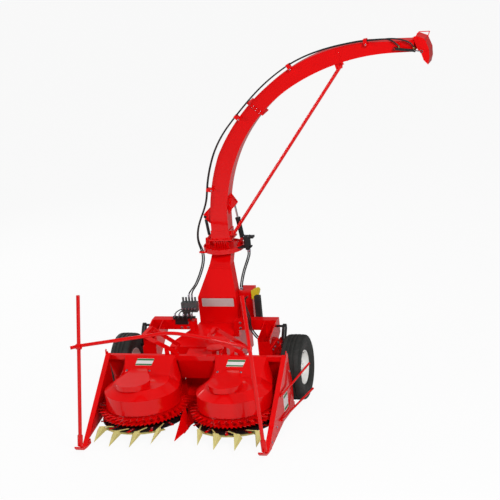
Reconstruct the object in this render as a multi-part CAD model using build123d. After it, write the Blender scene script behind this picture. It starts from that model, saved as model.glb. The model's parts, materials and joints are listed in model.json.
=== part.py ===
from build123d import *
import math
import os

# Two-row rotary forage harvester, carried on two gauge wheels and pushed by a tractor.
# Millimetres. X is to the right seen from the crop side, -Y is the way the rotors face,
# +Z is up. While it is drawn, Y = 0 is the header's rear beam and Z = 0 is the ground.
# The finished pieces are moved so that the parking stand's foot is at the origin.

# Frame and wheels
FRAME_HALF_W = 821
FRAME_Y = 826
FRAME_D = 120
FRAME_TOP = 921
FRAME_LOW = 790
ARM_W = 156
ARM_T = 12
ARM_FRONT = 460
ARM_KNEE_Z = 810
ARM_LOW = 520
WHEEL_OUT = 284
WHEEL_X = FRAME_HALF_W + WHEEL_OUT
AXLE_Y = 583
TYRE_R = 404
TYRE_W = 235
RIM_R = 211
TREAD_GROOVE = 12
SPINDLE_R = 25
RUNNING = 0.3

# Header frame and dividers
HALF_W = 1153
SHEET = 8
FOLD_W = 60
BEAM_TOP = 763
BEAM_H = 60
BEAM_D = 55
SILL_Y = 130
SILL_Z = 62
SILL = 56
WALL_Y = 190
WALL_KNEE_Z = 320
WALL_HALF_W = 900
END_WALL_Y = 150
MOUTH_HALF_W = 215
MOUTH_LOW = 165
MOUTH_TOP = 425

# Rotors: each row cutter turns about an upright axis
ROTOR_X = 581
ROTOR_Y = -376
SKIRT_R = 455
SKIRT_LOW = 312
SKIRT_TOP = 497
CONE_R = 335
HOOD_TOP = 582
HOOD_WALL = 6
BACK_HALF_TOP = 325
BACK_HALF_LOW = 376
BACK_SLOPE = 190
BIG_TIP_R = 551
BIG_ROOT_R = 440
BIG_TEETH = 36
BIG_Z = 285
SMALL_TIP_R = 530
SMALL_ROOT_R = 478
SMALL_TEETH = 60
SMALL_Z = 225
TOOTH_T = 8
SWEEP_DEG = 4
DRUM_R = 430
NECK_R = 325
NECK_TOP = 200
DRUM_LOW = 150
SHAFT_R = 45
DISC_R = 515
DISC_Z = 136
DISC_T = 6
KNIFE_TIP_R = 552
KNIFE_ROOT_R = 430
KNIVES = 12
KNIFE_W = 34
CLEAR = 5

# Crop fingers under each rotor
RING_R = 545
RING_IN = 440
RING_Z = 118
RING_HALF_DEG = 45
FINGER_PITCH_DEG = 25.7
KNEE_R = 572
KNEE_Z = 178
BLADE_LEN = 235
BLADE_OUT = 65
BLADE_DROP = 112
FINGER_T = 8
FINGER_IN = 18
TAIL_LEN = 150
TAIL_W = 14

# Chopper, tower and spout
CHOP_HALF_W = 260
CHOP_FRONT = 450
CHOP_REAR = 1560
CHOP_LOW = 300
CHOP_NOSE_TOP = 705
CHOP_TOP = 800
FLARE = 220
WING_X = CHOP_HALF_W + 60
TOWER_Y0 = 1050
TOWER_DEPTH = 170
TOWER_HALF = 255
TOWER_WALL = 6
TURN_Y = 1537
RING_TOP_Z = 1690
SLEW_R = 260
SLEW_HOLE_R = 105
SLEW_T = 60
HOOP_T = 14
FLOOR_T = 20
MOTOR_X = 345
MOTOR_Y = TURN_Y - 87
MOTOR_LOW = RING_TOP_Z - 44
TURRET_T = 20
SEAT_Z = 1772
SPOUT_W = 200
SPOUT_WALL = 5
TILT_X = -185
TILT_Z = 1775
FLAP_X = 2700
FLAP_Z = 4250
TIP_BACK = 39
LIFT_Y = 1567
LIFT_FOOT = (250, 1755)
LIFT_EYE = (190, 2215)
STAY_Y = 1477
PUSH_Y = 1387
PUSH_FOOT = (2426, 4154)
PUSH_EYE = (2747, 4111)
PIPE_FOOT = (HALF_W - 25, -1160, 110)
PIPE_TOP = (HALF_W - 161, -973, 1883)
PIPE_R = 22
GUIDE_R = 13
CROSS_Z = 1275
HOSE_R = 9

# Hitch
PIN_X = 412
PIN_Z = 560
PIN_R = 14
TOP_LINK_Z = 1060
DRIVE_TOP = 1200
TOP_LINK_R = 12.75
PTO_Z = 700
PTO_R = 17.45
STAND_Y = CHOP_REAR + 90

os.makedirs("parts", exist_ok=True)


def outline(points):
    """A flat face with straight sides, facing up from its own plane whichever way the points run."""
    turns = sum(a[0] * b[1] - b[0] * a[1] for a, b in zip(points, points[1:] + points[:1]))
    return make_face(Polyline(*(points if turns > 0 else points[::-1]), close=True))


def slab_x(points, x, thickness):
    """A plate with a (Y, Z) outline, from x towards +X."""
    return Pos(x, 0, 0) * extrude(Plane.YZ * outline(points), amount=thickness)


def slab_y(points, y, thickness):
    """A plate with an (X, Z) outline, from y towards +Y."""
    plane = Plane(origin=(0, y, 0), x_dir=(1, 0, 0), z_dir=(0, 1, 0))
    return extrude(plane * outline([(x, -z) for x, z in points]), amount=thickness)


def slab_z(points, z, thickness):
    """A plate with an (X, Y) outline, from z upwards."""
    return Pos(0, 0, z) * extrude(outline(points), amount=thickness)


def block(low, high):
    """A box between two corners."""
    size = [high[k] - low[k] for k in range(3)]
    mid = [(high[k] + low[k]) / 2 for k in range(3)]
    return Pos(*mid) * Box(*size)


def rod(start, end, radius):
    """A round bar from start to end."""
    along = Vector(*end) - Vector(*start)
    bar = Cylinder(radius, along.length, align=(Align.CENTER, Align.CENTER, Align.MIN))
    return Plane(origin=start, z_dir=along) * bar


def bar(start, end, width, depth, across=(0, 1, 0)):
    """A rectangular bar from start to end; depth is measured along across."""
    along = Vector(*end) - Vector(*start)
    side = Vector(*across).cross(along)
    body = Box(width, depth, along.length, align=(Align.CENTER, Align.CENTER, Align.MIN))
    return Plane(origin=start, x_dir=side, z_dir=along) * body


def tube(points, radii, radius):
    """A round tube along straight runs joined by arcs."""
    path = FilletPolyline(*points, radius=radii) if len(points) > 2 else Line(*points)
    return sweep(Plane(origin=path @ 0, z_dir=path % 0) * Circle(radius), path=path)


def upright(radius, low, high, x=0, y=0):
    """An upright cylinder between two heights."""
    height = high - low
    return Pos(x, y, low) * Cylinder(radius, height, align=(Align.CENTER, Align.CENTER, Align.MIN))


def mirrored(part):
    """The same piece on the other side of the machine."""
    return mirror(part, about=Plane.YZ)


def polar(radius, degrees):
    """A point on a circle; 0 degrees is towards the crop, positive towards +X."""
    turn = math.radians(degrees)
    return radius * math.sin(turn), -radius * math.cos(turn)


def saw_ring(tip_r, root_r, teeth, sweep_deg, z):
    """A flat ring of swept triangular teeth, its top at z."""
    pitch = 360 / teeth
    points = []
    for k in range(teeth):
        points.append(polar(root_r, k * pitch))
        points.append(polar(tip_r, (k + 0.5) * pitch + sweep_deg))
    return slab_z(points, z - TOOTH_T, TOOTH_T)


# Wheels

def make_tyre():
    """A ribbed implement tyre about the X axis at the origin."""
    half = TYRE_W / 2
    crown = TYRE_R - TREAD_GROOVE
    section = make_face(
        Polyline(
            (-half + 25, RIM_R), (-half, RIM_R + 60), (-half, crown - 55), (-half + 28, TYRE_R - 8),
            (-60, TYRE_R), (-52, crown), (-42, crown), (-34, TYRE_R),
            (-14, TYRE_R), (-6, crown), (6, crown), (14, TYRE_R),
            (34, TYRE_R), (42, crown), (52, crown), (60, TYRE_R),
            (half - 28, TYRE_R - 8), (half, crown - 55), (half, RIM_R + 60), (half - 25, RIM_R),
            close=True,
        )
    )
    return revolve(section, axis=Axis.X)


def make_rim():
    """A dished steel rim with its hub, about the X axis at the origin, outer side towards +X."""
    half = TYRE_W / 2 - 25
    seat = RIM_R - RUNNING
    section = make_face(
        Polyline(
            (-half, seat), (half, seat), (half, seat - 10), (20, seat - 22), (20, 78), (48, 62),
            (48, SPINDLE_R + 12), (60, SPINDLE_R + 12), (60, SPINDLE_R + RUNNING),
            (-60, SPINDLE_R + RUNNING), (-60, 62), (8, 70), (8, seat - 22), (-half, seat - 10),
            close=True,
        )
    )
    return revolve(section, axis=Axis.X)


# Rotors

def hood_shell(skirt_r, cone_r, low, top, wall, back_top, half_top, half_low):
    """The solid form of a rotor hood: a drum with a cone, faired back to the header's beam."""
    drum = revolve(
        make_face(
            Polyline((0, low), (skirt_r, low), (skirt_r, SKIRT_TOP - wall), (cone_r, top), (0, top), close=True)
        ).moved(Location((0, 0, 0), (1, 0, 0), 90)),
        axis=Axis.Z,
    )
    drum = Pos(0, ROTOR_Y, 0) * drum
    reach = -ROTOR_Y - BACK_SLOPE
    front_top = math.sqrt(cone_r ** 2 - reach ** 2)
    front_low = math.sqrt(skirt_r ** 2 - reach ** 2)

    def section(y, z_top, half_t, half_l):
        points = [(-half_t, z_top), (half_t, z_top), (half_l, SKIRT_TOP - wall), (half_l, low),
                  (-half_l, low), (-half_l, SKIRT_TOP - wall)]
        return Plane(origin=(0, y, 0), x_dir=(1, 0, 0), z_dir=(0, -1, 0)) * outline(points)

    fairing = loft([section(0, back_top, half_top, half_low), section(-BACK_SLOPE, top, front_top, front_low)],
                   ruled=True)
    return drum + fairing


def make_hood(x):
    """A rotor's fixed sheet-metal hood with the bearing tube that its shaft turns in."""
    outer = hood_shell(SKIRT_R, CONE_R, SKIRT_LOW, HOOD_TOP, 0, BEAM_TOP, BACK_HALF_TOP, BACK_HALF_LOW)
    w = HOOD_WALL
    inner = hood_shell(SKIRT_R - w, CONE_R - w, SKIRT_LOW - w, HOOD_TOP - w, w / 2, BEAM_TOP - 2 * w,
                       BACK_HALF_TOP - w, BACK_HALF_LOW - w)
    inner = inner - block((-600, -w, 0), (600, 10, 900))
    bearing = upright(SHAFT_R + 25, 400, HOOD_TOP - w / 2, 0, ROTOR_Y)
    bore = upright(SHAFT_R + RUNNING, 390, HOOD_TOP - 60, 0, ROTOR_Y)
    return Pos(x, 0, 0) * (outer - inner + bearing - bore)


def make_cap(x):
    """The tear-shaped gear cover on top of a hood, its tail running back."""
    round_x, round_y, round_r = -46, -160, 205
    tail_x, tail_y, tail_r = -85, 175, 100
    plan = Pos(round_x, round_y) * Circle(round_r) + Pos(tail_x, tail_y) * Circle(tail_r)
    plan = make_hull(plan.edges())
    cap = Pos(0, ROTOR_Y, HOOD_TOP) * extrude(plan, amount=66)
    hood = hood_shell(SKIRT_R, CONE_R, SKIRT_LOW, HOOD_TOP, 0, BEAM_TOP, BACK_HALF_TOP, BACK_HALF_LOW)
    return Pos(x, 0, 0) * (cap - hood)


def make_rotor(x, hand):
    """The slow feed drum of a rotor with its two rings of teeth."""
    profile = make_face(
        Polyline(
            (0, DRUM_LOW), (NECK_R, DRUM_LOW), (NECK_R, NECK_TOP), (DRUM_R, NECK_TOP + 12),
            (DRUM_R, SKIRT_LOW - CLEAR), (SHAFT_R, SKIRT_LOW - CLEAR), (SHAFT_R, HOOD_TOP - 70),
            (0, HOOD_TOP - 70), close=True,
        )
    ).moved(Location((0, 0, 0), (1, 0, 0), 90))
    drum = revolve(profile, axis=Axis.Z)
    hollow = upright(NECK_R - 12, DRUM_LOW - 1, NECK_TOP + 60) - upright(SHAFT_R + 40, DRUM_LOW - 2, NECK_TOP + 70)
    big = saw_ring(BIG_TIP_R, BIG_ROOT_R, BIG_TEETH, hand * SWEEP_DEG, BIG_Z)
    small = saw_ring(SMALL_TIP_R, SMALL_ROOT_R, SMALL_TEETH, hand * SWEEP_DEG / 2, SMALL_Z)
    return Pos(x, ROTOR_Y, 0) * (drum - hollow + big + small)


def make_knife_disc(x):
    """The fast steel disc that carries the knives."""
    disc = upright(DISC_R, DISC_Z, DISC_Z + DISC_T)
    return Pos(x, ROTOR_Y, 0) * (disc - upright(SHAFT_R + RUNNING, 0, 300))


def make_knives(x, hand):
    """Hooked knives bolted on the disc's edge."""
    blades = []
    for k in range(KNIVES):
        turn = Rot(0, 0, k * 360 / KNIVES)
        root, tip = -KNIFE_ROOT_R, -KNIFE_TIP_R
        half = KNIFE_W / 2
        hook = [(half, root), (-half, root), (half, tip + 8), (half + 37, tip + 22), (half + 20, tip + 30)]
        points = [(hand * px, py) for px, py in hook]
        blades.append(turn * slab_z(points, DISC_Z + DISC_T, DISC_T))
    return Pos(x, ROTOR_Y, 0) * Compound(blades)


def make_fingers(x, hand):
    """The cream ring under the disc with its crop fingers."""
    outer = make_face(
        Polyline(
            *[polar(RING_R, a) for a in range(-RING_HALF_DEG, RING_HALF_DEG + 1, 9)],
            *[polar(RING_IN, a) for a in range(RING_HALF_DEG, -RING_HALF_DEG - 1, -9)],
            close=True,
        )
    )
    whole = Pos(0, 0, RING_Z) * extrude(outer, amount=SHEET)
    for side in (-1, 0, 1):
        whole += slab_z(arm_outline(polar(150, side * 38), polar(RING_IN + 20, side * 38), 50), RING_Z - 10, 10)
    for step in (-1.5, -0.5, 0.5, 1.5):
        angle = step * FINGER_PITCH_DEG
        kx, ky = polar(KNEE_R, angle)
        knee = Vector(kx, ky, KNEE_Z)
        foot_z = RING_Z + 2 - KNEE_Z
        inward = Vector(-kx, -ky, 0) * (FINGER_IN / KNEE_R)
        finger = spike(knee, past_knives(knee + Vector(hand * 70, 5, -8)), past_knives(knee + Vector(hand * 100, 0, foot_z)),
                       knee + inward + Vector(0, 0, foot_z), knee + Vector(hand * BLADE_OUT, -BLADE_LEN, -BLADE_DROP))
        seat = knee + Vector(hand * 45, -12, 0)
        whole += finger
        whole += slab_z(arm_outline(polar(RING_R - 40, angle), (seat.X, seat.Y), 44), RING_Z, SHEET)
        lean = math.radians(angle + hand * 45)
        toward = Vector(-math.sin(lean), math.cos(lean), 0)
        start = knee + Vector(hand * 30, -4, 0) - toward * 6
        end = start + toward * TAIL_LEN
        whole += slab_z(arm_outline((start.X, start.Y), (end.X, end.Y), TAIL_W), KNEE_Z - 4 - FINGER_T, FINGER_T)
    return Pos(x, ROTOR_Y, 0) * whole


def past_knives(point):
    """The point, moved straight out from the rotor's axis where it would stand in the knives' way."""
    reach = math.hypot(point.X, point.Y)
    share = max(1, (KNEE_R - 8) / reach)
    return Vector(point.X * share, point.Y * share, point.Z)


def arm_outline(start, end, width):
    """A strip in plan from start to end."""
    a, b = Vector(*start), Vector(*end)
    side = (b - a).cross(Vector(0, 0, 1)).normalized() * (width / 2)
    return [tuple(p)[:2] for p in (a + side, b + side, b - side, a - side)]


def spike(knee, shoulder, heel, inner, tip):
    """A finger: a four-cornered foot drawn out to a tip."""
    sides = [(knee, inner, shoulder), (shoulder, inner, heel), (tip, knee, shoulder), (tip, shoulder, heel),
             (tip, heel, inner), (tip, inner, knee)]
    solid = Solid(Shell([Face(Wire.make_polygon(list(side), close=True)) for side in sides]))
    return solid if solid.volume > 0 else Solid(solid.wrapped.Reversed())


# Header

def make_rotor_base(x):
    """The gear case and skid under a rotor, on an arm that runs back to the sill."""
    case = upright(170, 60, RING_Z - 10) + upright(120, 40, 62) + upright(SHAFT_R, 60, DRUM_LOW - 2)
    arm = block((-60, 0, 62), (60, SILL_Y - ROTOR_Y, 104))
    return Pos(x, ROTOR_Y, 0) * (case + arm)


def make_header_frame():
    """The header's rear wall, top beam and sill, with the crop mouth in the middle."""
    w = HALF_W - SHEET
    beam_low = BEAM_TOP - BEAM_H
    beam = block((-w, 0, beam_low), (w, BEAM_D, BEAM_TOP))
    sill = block((-w, SILL_Y, SILL_Z), (w, SILL_Y + SILL, SILL_Z + SILL))
    upper = slab_x([(BEAM_D, beam_low), (BEAM_D - 12, beam_low), (WALL_Y, WALL_KNEE_Z), (WALL_Y + SHEET, WALL_KNEE_Z)],
                   -w, 2 * w)
    lower = block((-WALL_HALF_W, WALL_Y, SILL_Z), (WALL_HALF_W, WALL_Y + SHEET, WALL_KNEE_Z + 4))
    mouth = block((-MOUTH_HALF_W, -50, MOUTH_LOW), (MOUTH_HALF_W, 300, MOUTH_TOP))
    foot = block((-w, SILL_Y + SILL - 4, SILL_Z), (w, WALL_Y + 4, SILL_Z + 8))
    share = (END_WALL_Y - BEAM_D + 12) / (WALL_Y - BEAM_D + 12)
    end_top = beam_low + (WALL_KNEE_Z - beam_low) * share + 12
    for x0, x1 in ((-w - 1, -WALL_HALF_W), (WALL_HALF_W, w + 1)):
        upper -= block((x0, END_WALL_Y + SHEET, WALL_KNEE_Z - 20), (x1, WALL_Y + 100, end_top + 60))
    for sign in (-1, 1):
        x0, x1 = sorted((sign * (WALL_HALF_W - SHEET), sign * w))
        r0, r1 = sorted((sign * (WALL_HALF_W - SHEET), sign * WALL_HALF_W))
        lower += block((x0, END_WALL_Y, SILL_Z), (x1, END_WALL_Y + SHEET, end_top))
        lower += block((r0, END_WALL_Y, SILL_Z), (r1, WALL_Y + SHEET, WALL_KNEE_Z))
    panel = slab_x([(0, beam_low), (10, beam_low), (84, MOUTH_TOP + 26), (WALL_Y - 60, MOUTH_TOP + 8),
                    (WALL_Y - 60, MOUTH_TOP), (76, MOUTH_TOP + 18)], -MOUTH_HALF_W - 10, 2 * MOUTH_HALF_W + 20)
    return beam + sill + foot + (upper + lower - mouth) + panel


def make_divider():
    """A side divider: a plate with a folded front edge, a hook on top and a curved ski at its nose."""
    outer = [(0, 790), (BEAM_D, 790), (127, SILL_Z), (-364, 88), (-960, 4), (-1060, 20)]
    plate = slab_x(outer, HALF_W - SHEET, SHEET)
    fold = slab_x([(0, 790), (0, 764), (-1035, 30), (-1060, 20)], HALF_W - FOLD_W, FOLD_W - SHEET)
    ski = slab_x([(-930, 0), (-1060, 0), (-1160, 14), (-1250, 56), (-1286, 92), (-1288, 106), (-1276, 108),
                  (-1236, 76), (-1156, 36), (-1058, 22), (-930, 60)], HALF_W - 62, 62)
    hook = slab_x([(-20, 780), (-14, 830), (6, 838), (20, 826), (14, 812), (24, 785)], HALF_W - SHEET, SHEET)
    foot, top = Vector(*PIPE_FOOT), Vector(*PIPE_TOP)
    up = (top - foot).normalized()
    socket = rod(tuple(foot - up * 40), tuple(foot + up * 90), PIPE_R + 10)
    bore = rod(tuple(foot), tuple(foot + up * 100), PIPE_R + RUNNING)
    web = slab_x([(-1110, 22), (-1186, 34), (-1186, 106), (-1140, 106)], HALF_W - 29, SHEET)
    return plate + fold + ski + hook + socket + web - bore


def make_guide_tubes():
    """Two bent tubes on the right divider that lead the cut crop past the wheel."""
    near, far = HALF_W + GUIDE_R, WHEEL_X + TYRE_W / 2 + 68
    upper = tube([(near, -445, 448), (near + 19, -50, 425), (far, 470, 500)], [420], GUIDE_R)
    lower = tube([(near, -500, 164), (near + 19, -40, 121), (far, 540, 140)], [420], GUIDE_R)
    return upper, lower


def make_push_bar():
    """The two upright pipes and the bowed cross bar that lean the crop forward."""
    foot, top = PIPE_FOOT, PIPE_TOP
    right = rod(foot, top, PIPE_R)
    left = mirrored(right)
    share = (CROSS_Z - foot[2]) / (top[2] - foot[2])
    x = foot[0] + (top[0] - foot[0]) * share
    y = foot[1] + (top[1] - foot[1]) * share
    bow = tube([(-x - 100, y - 20, CROSS_Z - 10), (-x, y + 26, CROSS_Z), (-500, -800, CROSS_Z + 16),
                (0, -750, CROSS_Z + 77), (500, -800, CROSS_Z + 25), (x - 4, y + 26, CROSS_Z)],
               [150, 300, 900, 300], 21)
    clamp = rod((-x - 30, y, CROSS_Z), (-x + 30, y, CROSS_Z), 34) + rod((x - 20, y, CROSS_Z), (x + 20, y, CROSS_Z), 34)
    bracket = slab_z([(-x - 96, y - 14), (-x, y + 24), (-x + 60, y + 60), (-x - 10, y - 10)], CROSS_Z - 4, 8)
    return right + left + bow + clamp + bracket


def make_brace():
    """A trestle behind the header: two sloping bars between an apex plate and the beam."""
    z = BEAM_TOP
    apex = block((180, 20, z + 222), (230, 285, z + 272))
    rear = bar((205, 270, z + 257), (560, 270, z + 27), 50, 14) + rod((545, 262, z + 37), (545, 40, z + 16), 14)
    front = bar((205, 34, z + 237), (600, 34, z + 26), 50, 14) - block((0, 0, 0), (900, 300, z))
    front += block((560, 24, z), (620, 44, z + 30))
    post = block((445, 20, z), (495, 48, z + 87))
    return apex + rear + front + post


# Frame

def make_frame_side():
    """Half of the rear beam with the channel-shaped arm that reaches forward to a wheel arm."""
    beam = block((WING_X, FRAME_Y, FRAME_LOW), (FRAME_HALF_W, FRAME_Y + FRAME_D, FRAME_TOP))
    side = [(FRAME_Y + FRAME_D, FRAME_TOP), (FRAME_Y, FRAME_TOP), (ARM_FRONT + 20, ARM_KNEE_Z),
            (ARM_FRONT, ARM_KNEE_Z - 6), (ARM_FRONT, ARM_LOW), (ARM_FRONT + 150, ARM_LOW),
            (FRAME_Y, FRAME_LOW - 120), (FRAME_Y + FRAME_D, FRAME_LOW - 60)]
    arm = slab_x(side, FRAME_HALF_W - ARM_W, ARM_W)
    hollow = slab_x([(FRAME_Y + 10, FRAME_TOP + 20), (FRAME_Y - 10, FRAME_TOP + 40), (ARM_FRONT - 60, ARM_KNEE_Z + 40),
                     (ARM_FRONT - 60, ARM_KNEE_Z - 40), (ARM_FRONT + 12, ARM_KNEE_Z - 40), (ARM_FRONT + 12, ARM_LOW + 12),
                     (ARM_FRONT + 145, ARM_LOW + 12), (FRAME_Y - 10, FRAME_LOW - 100)],
                    FRAME_HALF_W - ARM_W + ARM_T, ARM_W - 2 * ARM_T)
    return beam + (arm - hollow)


def make_wheel_arm():
    """A wheel arm: a box arm from the frame's arm down to the wheel's spindle."""
    x = FRAME_HALF_W
    plate = slab_x([(ARM_FRONT, 700), (ARM_FRONT + 330, 700), (ARM_FRONT + 330, 560), (660, 360), (520, 340),
                    (ARM_FRONT, 520)], x, 20)
    box = slab_x([(800, 690), (860, 690), (660, 350), (530, 350), (530, 470), (620, 480)], x + 20, 62)
    lug = slab_x([(620, 470), (740, 600), (700, 665), (650, 670)], x + 62, 20)
    spindle = rod((x + 20, AXLE_Y, TYRE_R), (WHEEL_X + 58, AXLE_Y, TYRE_R), SPINDLE_R)
    hub = rod((x + 80, AXLE_Y, TYRE_R), (WHEEL_X - 62, AXLE_Y, TYRE_R), 48)
    return plate + box + lug + spindle + hub


def make_wheel_cylinder():
    """The black cylinder that sets a wheel's height, between the frame's side and the arm's lug."""
    x = FRAME_HALF_W + 102
    top, low = Vector(x, 812, 852), Vector(x, 672, 640)
    down = (low - top).normalized()
    barrel = rod(tuple(top + down * 14), tuple(top + down * 170), 32)
    piston = rod(tuple(top + down * 160), tuple(low - down * 14), 16)
    eyes = rod((x - 20, top.Y, top.Z), (x + 20, top.Y, top.Z), 30) + rod((x - 19.7, low.Y, low.Z), (x + 18, low.Y, low.Z), 26)
    top_pin = rod((FRAME_HALF_W, top.Y, top.Z), (x + 26, top.Y, top.Z), 15)
    low_pin = rod((FRAME_HALF_W + 82, low.Y, low.Z), (x + 26, low.Y, low.Z), 13)
    return barrel + piston + eyes + top_pin + low_pin


def make_chopper():
    """The chopper housing with its sloping front hood, which widens to the left."""
    def profile(wall):
        return [(CHOP_FRONT + wall, CHOP_LOW + wall), (CHOP_FRONT + wall, CHOP_NOSE_TOP - 1.3 * wall),
                (TOWER_Y0, CHOP_TOP - 1.3 * wall), (CHOP_REAR - wall, CHOP_TOP - 1.3 * wall),
                (CHOP_REAR - wall, CHOP_LOW + wall)]

    def body(wall):
        side = CHOP_HALF_W + FLARE
        plan = [(-CHOP_HALF_W + wall, TOWER_Y0 - 10), (-side + wall, CHOP_FRONT + 110), (-side + wall, CHOP_FRONT + wall),
                (-CHOP_HALF_W + 1, CHOP_FRONT + wall), (-CHOP_HALF_W + 1, TOWER_Y0 - 10)]
        flare = slab_x(profile(wall), -side, FLARE + wall + 1) & slab_z(plan, 0, 2 * CHOP_TOP)
        return slab_x(profile(wall), -CHOP_HALF_W + wall, 2 * (CHOP_HALF_W - wall)) + flare

    outlet = block((-TOWER_HALF + 40, TOWER_Y0 + 15, CHOP_TOP - 40),
                   (TOWER_HALF - 40, TOWER_Y0 + TOWER_DEPTH - 15, CHOP_TOP + 1))
    throat = block((-MOUTH_HALF_W, CHOP_FRONT - 1, CHOP_LOW + 30), (MOUTH_HALF_W, CHOP_FRONT + 11, 680))
    wings = Part()
    for sign in (-1, 1):
        x0, x1 = sorted((sign * CHOP_HALF_W, sign * WING_X))
        wings += block((x0, FRAME_Y, FRAME_LOW - 90), (x1, FRAME_Y + FRAME_D, FRAME_TOP - 21))
    return (body(0) + wings) - body(SHEET) - outlet - throat


def make_cutter_drum():
    """The chopping drum inside the housing, drawn as its plain heavy cylinder."""
    half = CHOP_HALF_W - SHEET - RUNNING
    return rod((-half, 900, 560), (half, 900, 560), 170)


def duct_side(wall):
    """The feed duct's side outline in (Y, Z), drawn in by a wall."""
    y0, y1 = WALL_Y + SHEET, CHOP_FRONT
    return [(y0 - wall, MOUTH_LOW - SHEET + wall), (y0 - wall, 640 - wall), (y1 - wall, 690 - wall),
            (y1 - wall, CHOP_LOW + 20 + wall)]


def make_feed_duct():
    """The duct between the header's mouth and the chopper, open at the front."""
    y0 = WALL_Y + SHEET
    out = slab_x(duct_side(0), -MOUTH_HALF_W - SHEET, 2 * (MOUTH_HALF_W + SHEET))
    hollow = slab_x(duct_side(SHEET), -MOUTH_HALF_W, 2 * MOUTH_HALF_W)
    flange = block((-MOUTH_HALF_W - 40, y0, 560), (MOUTH_HALF_W + 40, y0 + SHEET, 648))
    return out + flange - hollow


def make_cover_disc():
    """The round cover on the header's drive, right of the middle."""
    post = block((150, 205, 600), (210, 295, 764)) - slab_x(duct_side(0), -MOUTH_HALF_W - 8, 2 * MOUTH_HALF_W + 16)
    return upright(105, 764, 782, 180, 250) + post - block((0, 0, 0), (400, WALL_Y + SHEET + 8, 650))


def make_tower():
    """The sheet-metal chimney: upright from the chopper, then drawn in and leaning back to the turntable."""
    top = RING_TOP_Z - SLEW_T
    # columns: height, front Y, rear Y, half width
    levels = [
        (CHOP_TOP, TOWER_Y0, TOWER_Y0 + TOWER_DEPTH, TOWER_HALF),
        (CHOP_TOP + 340, TOWER_Y0, TOWER_Y0 + TOWER_DEPTH, TOWER_HALF),
        (top - 140, TURN_Y - 235, TURN_Y - 77, SLEW_HOLE_R + 34),
        (top - 66, TURN_Y - 166, TURN_Y + 13, SLEW_HOLE_R + 25),
        (top, TURN_Y - 100, TURN_Y + 90, SLEW_HOLE_R + 20),
    ]

    def body(wall, reach):
        faces = []
        for k, (z, y0, y1, half) in enumerate(levels):
            rise = reach * ((k == len(levels) - 1) - (k == 0))
            faces.append(Pos(0, 0, z + rise) * outline([(-half + wall, y0 + wall), (half - wall, y0 + wall),
                                                        (half - wall, y1 - wall), (-half + wall, y1 - wall)]))
        return loft(faces, ruled=True)

    low = block((-CHOP_HALF_W, TOWER_Y0 - 14, CHOP_TOP), (CHOP_HALF_W, TOWER_Y0 + TOWER_DEPTH + 14, CHOP_TOP + 8))
    high = block((-SLEW_HOLE_R - 55, TURN_Y - 125, top - 10), (SLEW_HOLE_R + 55, TURN_Y + 125, top))
    return body(0, 0) + low + high - body(TOWER_WALL, 1)


def make_slew_ring():
    """The fixed ring on top of the tower: a hoop round the floor that the turret turns on."""
    low = RING_TOP_Z - SLEW_T
    ring = upright(SLEW_R, low, RING_TOP_Z, 0, TURN_Y) - upright(SLEW_R - HOOP_T, low + FLOOR_T, RING_TOP_Z + 1, 0, TURN_Y)
    return ring - upright(SLEW_HOLE_R, low - 1, RING_TOP_Z + 1, 0, TURN_Y)


def make_turn_motor():
    """The hydraulic motor that turns the spout, on a bracket at the fixed ring's right."""
    top = RING_TOP_Z
    x, y = MOTOR_X, MOTOR_Y
    bracket = block((200, y - 46, top - 16), (x + 52, y + 46, top)) - upright(SLEW_R + RUNNING, 1600, 1800, 0, TURN_Y)
    body = upright(44, top, top + 128, x, y) + upright(30, MOTOR_LOW, top - 16, x, y)
    lid = block((x - 40, y - 42, top + 112), (x + 92, y + 42, top + 136))
    return bracket + body + lid


def make_turret():
    """The turning base plate of the spout, with its tilt ears and the lift cylinder's ear."""
    z = RING_TOP_Z - SLEW_T + FLOOR_T + RUNNING
    plate = upright(SLEW_R - HOOP_T - 6, z, z + TURRET_T, 0, TURN_Y)
    neck = block((-100, TURN_Y - 100, z + TURRET_T), (100, TURN_Y + 100, SEAT_Z - RUNNING)) \
        - block((-88, TURN_Y - 88, z), (88, TURN_Y + 88, SEAT_Z + 10))
    hole = upright(SLEW_HOLE_R - 10, z - 1, z + TURRET_T + 1, 0, TURN_Y)
    ears = Part()
    for y in (TURN_Y - 90, TURN_Y + 70):
        ears += slab_y([(TILT_X - 33, z), (TILT_X + 26, z), (TILT_X + 26, TILT_Z + 10), (TILT_X + 10, TILT_Z + 28),
                        (TILT_X - 20, TILT_Z + 28)], y, 20)
    pin = rod((TILT_X, TURN_Y - 100, TILT_Z), (TILT_X, TURN_Y + 100, TILT_Z), 14)
    foot_x, foot_z = LIFT_FOOT
    lift = Part()
    for y in (LIFT_Y - 46, LIFT_Y + 32):
        lift += slab_y([(165, z), (225, z), (226, RING_TOP_Z + 7), (foot_x + 24, foot_z), (foot_x + 10, foot_z + 24), (foot_x - 20, foot_z + 18)],
                       y, 14)
    lift_pin = rod((foot_x, LIFT_Y - 46, foot_z), (foot_x, LIFT_Y + 46, foot_z), 11)
    return plate - hole + neck + ears + pin + lift + lift_pin


# Spout

def spout_side(grow):
    """The spout's side outline in (X, Z): outer edge out, inner edge back; grow shrinks it inwards."""
    g = grow
    x, z = FLAP_X, FLAP_Z
    outer = [(-114 + g, 1800), (-112 + g, 2000), (-62 + g, 2420), (82 + g, 2887 - g), (363 + g, 3321 - g),
             (780 + g, 3732 - g), (x - 1279, z - 148 - g), (x - 631, z - 14 - g), (x - TIP_BACK, z - 18 - g)]
    inner = [(x - TIP_BACK, z - 150 + g), (x - 285, z - 154 + g), (x - 902, z - 236 + g), (1221 - g, 3792 + g),
             (778 - g, 3484 + g), (359 - g, 2947 + g), (171 - g, 2443), (118 - g, 2100), (110 - g, 1800)]
    return outer, inner


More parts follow.
